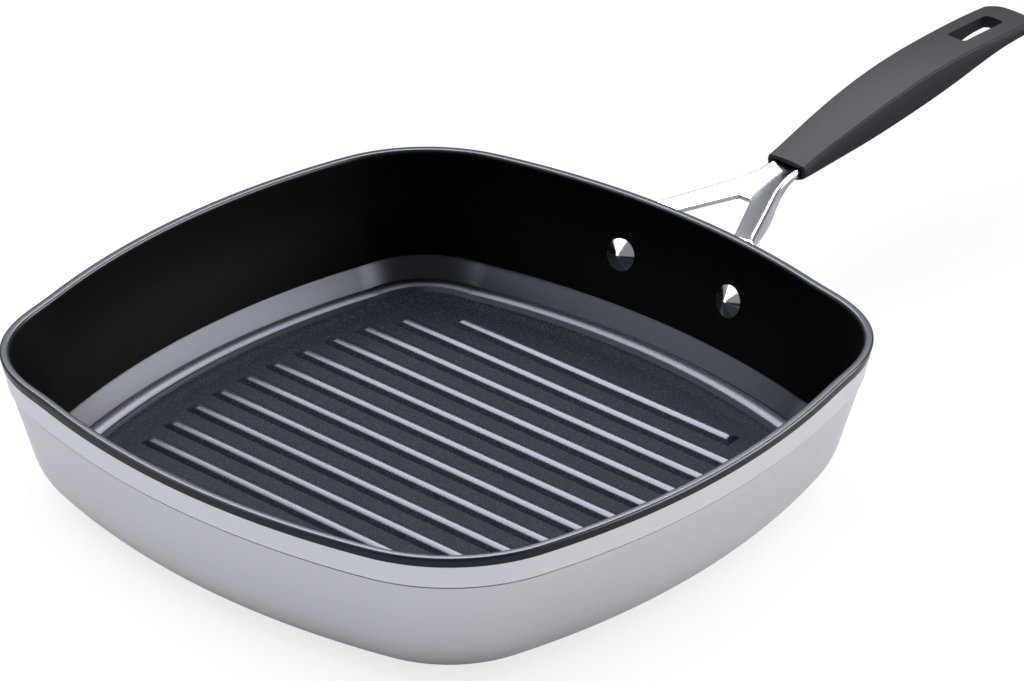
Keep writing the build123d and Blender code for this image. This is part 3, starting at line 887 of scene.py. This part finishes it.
def half_section(yoke, x, half, flange):
    """Half section at x as (y, drop): to the opening's edge, the flat, the round edge and the flange."""
    gap_ends = ((yoke.gap_start, yoke.gap_wide), (yoke.gap_end, yoke.gap_narrow))
    seam = min(gap_half(yoke, x) or between(gap_ends, x), half * GAP_SHARE)
    corner = min(yoke.edge_round, flange * ROUND_SHARE)
    flat = half - corner
    points = [(seam * i / GAP_COLUMNS, 0.0) for i in range(GAP_COLUMNS)]
    points += [(seam + (flat - seam) * i / FLAT_COLUMNS, 0.0) for i in range(FLAT_COLUMNS + 1)]
    for i in range(1, ROUND_COLUMNS + 1):
        turn = math.pi / 2 * i / ROUND_COLUMNS
        points.append((flat + corner * math.sin(turn), -corner * (1 - math.cos(turn))))
    points.append((half, -max(flange, corner + FLANGE_LEAST)))
    return points


def yoke_sheet(pan, yoke):
    """Vertices and faces of the yoke's upper side, its rows bent round the pan's arched side."""
    axis = pan.side_radius - pan.width / 2
    vertices = []
    grid = []
    for x, height, half, flange in pad_rows(pan, yoke) + bend_rows(pan, yoke) + arm_rows():
        points = half_section(yoke, x, half, flange)
        row = {}
        for side in (-1, 1):
            for column, (y, drop) in enumerate(points):
                lift = yoke.dish * min(flange / DISH_FLANGE, 1.0) * ((y / half) ** 2 - DISH_LEVEL)
                bent_x = math.sqrt((x + axis) ** 2 - y**2) - axis
                row[side, column] = len(vertices)
                vertices.append((bent_x, side * y - yoke.offset, height + drop + lift))
        grid.append((x, row))
    faces = []
    for (x0, low), (x1, high) in zip(grid, grid[1:]):
        first = GAP_COLUMNS if yoke.gap_start < (x0 + x1) / 2 < yoke.gap_end else 0
        for side in (-1, 1):
            for i in range(first, len(points) - 1):
                corners = (low[side, i], low[side, i + 1], high[side, i + 1], high[side, i])
                faces.append(corners if side > 0 else corners[::-1])
    return vertices, faces


def face_upwards(mesh):
    """Turns an open sheet's faces so that the one at its far end points upwards."""
    sheet = bmesh.new()
    sheet.from_mesh(mesh)
    far = max(sheet.faces, key=lambda face: face.calc_center_median().x)
    if far.normal.z < 0:
        bmesh.ops.reverse_faces(sheet, faces=sheet.faces)
    sheet.to_mesh(mesh)
    sheet.free()


def build_yoke(settings, material):
    """Pressed sheet: wall pad, bend, two dished arms round an opening, and the tang."""
    vertices, faces = yoke_sheet(settings.pan, settings.yoke)
    piece = make_object("yoke_sheet", vertices, faces, [material])
    face_upwards(piece.data)
    thick = piece.modifiers.new("sheet", "SOLIDIFY")
    thick.thickness = settings.yoke.sheet * MM
    thick.offset = -1.0
    thick.use_even_offset = True
    burr = piece.modifiers.new("edges", "BEVEL")
    burr.width = BURR_WIDTH * MM
    burr.segments = BURR_SEGMENTS
    burr.angle_limit = math.radians(BURR_ANGLE)
    return settle(piece)


class PAN_OT_yoke(bpy.types.Operator):
    """Builds the steel yoke between the pan and the grip"""

    bl_idname = "pan.yoke"
    bl_label = "Yoke"

    def execute(self, context):
        settings = context.scene.grill_pan
        # Brushed and polished stainless steel, which mirrors light and dark in long soft bands
        lines = {"across": "y", "run": 25.0, "width": 2 / 3}
        tone = settings.finishes.yoke
        steel = brushed_material("yoke_steel", tone, roughness=0.15, relief=0.04, **lines)
        finish_piece(build_yoke(settings, steel), "yoke_steel", "handle_yoke")
        return {"FINISHED"}


class PAN_OT_metal(bpy.types.Operator):
    """Gives the CAD pieces of steel, plastic, rubber and brass their finishes"""

    bl_idname = "pan.metal"
    bl_label = "Handle finishes"

    def execute(self, context):
        tones = context.scene.grill_pan.finishes
        # Brushed stainless steel with straight lines that show against the light
        lines = {"across": "y", "run": 100 / 3, "width": 5 / 6}
        disc = brushed_material("induction_steel", tones.disc, roughness=0.3, relief=0.05, **lines)
        finishes = {
            "base_plate": disc,
            # Polished stainless steel, bright as a mirror
            "rivets": plain_material("rivet_steel", tones.rivet, roughness=0.12, metallic=1.0),
            # Moulded black plastic with a dull gloss
            "grip_core": plain_material("core_plastic", tones.core, roughness=0.5),
            # Matt soft-touch rubber with hardly any shine
            "grip_cover": plain_material("grip_rubber", tones.grip, roughness=0.55, specular=0.14),
            # Rolled steel with a soft shine
            "grip_screw": plain_material("screw_steel", tones.screw, roughness=0.3, metallic=1.0),
            # Spring steel, a little duller than the screw
            "lock_washer": plain_material("washer_steel", tones.washer, roughness=0.35, metallic=1.0),
            # Turned brass, warm yellow
            "threaded_insert": plain_material("insert_brass", tones.insert, roughness=0.3, metallic=1.0),
        }
        for name, material in finishes.items():
            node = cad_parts[name]
            node.data.materials.clear()
            node.data.materials.append(material)
        return {"FINISHED"}


# Studio, in metres

# Camera: angles in degrees, distance and aim, sensor and lens in millimetres, shift in shares of the frame
CAMERA_AZIMUTH = -47.46
CAMERA_ELEVATION = 28.80
CAMERA_DISTANCE = 2.2367
CAMERA_AIM = (0.0, 0.0, 0.060)
CAMERA_SENSOR = 36.0
CAMERA_LENS = 212.4
CAMERA_SHIFT = (0.0729, -0.0008)

# Floor: half width, colour, and how the camera sees it, as a dimmer colour with a glow of its own
FLOOR_REACH = 4.0
FLOOR_COLOUR = "#f7f7f8"
FLOOR_ROUGHNESS = 0.9
FLOOR_SEEN = "#a2a2a2"
FLOOR_GLOW = 0.73

# Room: colour and strength in reflections, as light on everything, and as the camera sees it
ROOM_MIRRORED = ("#eef1f6", 0.38)
ROOM_LIGHT = ("#eef0f4", 0.7)
ROOM_SEEN = ("#ffffff", 1.0)

# Soft boxes: name, place, target, size, power in watts, colour, and whether only reflections show them
SOFTBOXES = (
    ("softbox_top", (-0.4, 0.6, 1.6), (0.0, 0.0, 0.0), (1.8, 1.8), 11.5, "#ffffff", False),
    ("softbox_side", (1.2, -1.2, 0.63), (0.0, 0.0, 0.03), (1.35, 1.2), 63.0, "#fff8f3", True),
    ("softbox_far", (0.8, 0.74, 1.47), (0.0, 0.0, 0.03), (1.5, 1.0), 73.0, "#ffffff", True),
    ("softbox_left", (-1.19, 1.07, 0.85), (0.0, 0.0, 0.03), (1.1, 1.0), 9.0, "#ffffff", True),
)


def studio_camera():
    """Camera that looks down on a corner of the pan, with the handle behind."""
    azimuth = math.radians(CAMERA_AZIMUTH)
    elevation = math.radians(CAMERA_ELEVATION)
    flat = math.cos(elevation)
    back = Vector((math.sin(azimuth) * flat, -math.cos(azimuth) * flat, math.sin(elevation)))
    data = bpy.data.cameras.new("photo_camera")
    data.sensor_width = CAMERA_SENSOR
    data.lens = CAMERA_LENS
    data.shift_x, data.shift_y = CAMERA_SHIFT
    camera = bpy.data.objects.new("photo_camera", data)
    bpy.context.scene.collection.objects.link(camera)
    camera.location = Vector(CAMERA_AIM) + back * CAMERA_DISTANCE
    camera.rotation_euler = (-back).to_track_quat("-Z", "Y").to_euler()
    return camera


def floor_material():
    """Matt white floor, lifted towards full white for the camera, so that only a soft shadow stays."""
    values = {"Roughness": FLOOR_ROUGHNESS, "Specular_IOR_Level": 0.0}
    material, tree, shader = new_material("studio_white", Base_Color=linear(FLOOR_COLOUR), **values)
    seen = add_node(tree, "ShaderNodeBsdfDiffuse", Color=linear(FLOOR_SEEN))
    glow = add_node(tree, "ShaderNodeEmission", Strength=FLOOR_GLOW)
    lifted = add_node(tree, "ShaderNodeAddShader", {0: seen, 1: glow})
    camera_ray = add_node(tree, "ShaderNodeLightPath").outputs["Is Camera Ray"]
    mix = add_node(tree, "ShaderNodeMixShader", {0: camera_ray, 1: shader, 2: lifted})
    output = next(node for node in tree.nodes if node.type == "OUTPUT_MATERIAL")
    tree.links.new(mix.outputs["Shader"], output.inputs["Surface"])
    return material


def studio_floor():
    """Flat square floor at the pan's resting face."""
    mesh = bpy.data.meshes.new("studio_floor")
    corners = [(x * FLOOR_REACH, y * FLOOR_REACH, 0.0) for x, y in ((-1, -1), (1, -1), (1, 1), (-1, 1))]
    mesh.from_pydata(corners, [], [(0, 1, 2, 3)])
    mesh.materials.append(floor_material())
    floor = bpy.data.objects.new("studio_floor", mesh)
    bpy.context.scene.collection.objects.link(floor)
    return floor


def softbox(name, place, target, size, power, code, mirrored_only):
    """Rectangular area light at place, turned to target, if wished in reflections alone."""
    data = bpy.data.lights.new(name, "AREA")
    data.shape = "RECTANGLE"
    data.size, data.size_y = size
    data.energy = power
    data.color = linear(code)[:3]
    light = bpy.data.objects.new(name, data)
    bpy.context.scene.collection.objects.link(light)
    light.visible_diffuse = not mirrored_only
    light.location = place
    light.rotation_euler = (Vector(target) - Vector(place)).to_track_quat("-Z", "Y").to_euler()
    return light


def studio_world():
    """Pale room: plain white to the camera, dimmer in reflections, and a soft light on everything else."""
    world = bpy.data.worlds.new("studio_world")
    world.use_nodes = True
    tree = world.node_tree
    tree.nodes.clear()
    rays = add_node(tree, "ShaderNodeLightPath").outputs
    backgrounds = []
    for code, strength in (ROOM_MIRRORED, ROOM_LIGHT, ROOM_SEEN):
        backgrounds.append(add_node(tree, "ShaderNodeBackground", Color=linear(code), Strength=strength))
    mirrored, around, white = backgrounds
    unseen = add_node(tree, "ShaderNodeMixShader", {0: rays["Is Glossy Ray"], 1: around, 2: mirrored})
    mix = add_node(tree, "ShaderNodeMixShader", {0: rays["Is Camera Ray"], 1: unseen, 2: white})
    add_node(tree, "ShaderNodeOutputWorld", {"Surface": mix})
    return world


class PAN_OT_stage(bpy.types.Operator):
    """Sets the camera, the floor, the lights and the room"""

    bl_idname = "pan.stage"
    bl_label = "Studio"

    def execute(self, context):
        scene = context.scene
        scene.camera = studio_camera()
        floor = studio_floor()
        lights = [softbox(*row) for row in SOFTBOXES]
        scene.world = studio_world()
        scene.view_settings.view_transform = "Standard"
        return {"FINISHED"}


# Sidebar and registration


class PAN_PT_sidebar(bpy.types.Panel):
    """Sidebar with the pan's settings and build buttons"""

    bl_idname = "PAN_PT_sidebar"
    bl_label = "Grill pan"
    bl_space_type = "VIEW_3D"
    bl_region_type = "UI"
    bl_category = "Grill pan"

    def draw(self, context):
        settings = context.scene.grill_pan
        for group in (settings.pan, settings.ridges, settings.base, settings.yoke, settings.finishes):
            box = self.layout.box()
            for key in group.__annotations__:
                box.prop(group, key)
        for operator in OPERATORS:
            self.layout.operator(operator.bl_idname)


GROUPS = (PanSettings, RidgeSettings, BaseSettings, YokeSettings, FinishSettings, PAN_PG_settings)
OPERATORS = (PAN_OT_body, PAN_OT_ridges, PAN_OT_nubs, PAN_OT_yoke, PAN_OT_metal, PAN_OT_stage)
CLASSES = (*GROUPS, *OPERATORS, PAN_PT_sidebar)


def register():
    """Registers the add-on's classes and its settings on the scene."""
    for item in CLASSES:
        bpy.utils.register_class(item)
    bpy.types.Scene.grill_pan = bpy.props.PointerProperty(type=PAN_PG_settings)


def unregister():
    """Takes the settings and the classes away again."""
    del bpy.types.Scene.grill_pan
    for item in reversed(CLASSES):
        bpy.utils.unregister_class(item)


def main():
    """Builds every piece and the studio."""
    register()
    bpy.ops.pan.body()
    bpy.ops.pan.ridges()
    bpy.ops.pan.nubs()
    bpy.ops.pan.yoke()
    bpy.ops.pan.metal()
    bpy.ops.pan.stage()
    bpy.context.view_layer.update()


if __name__ == "__main__":
    main()
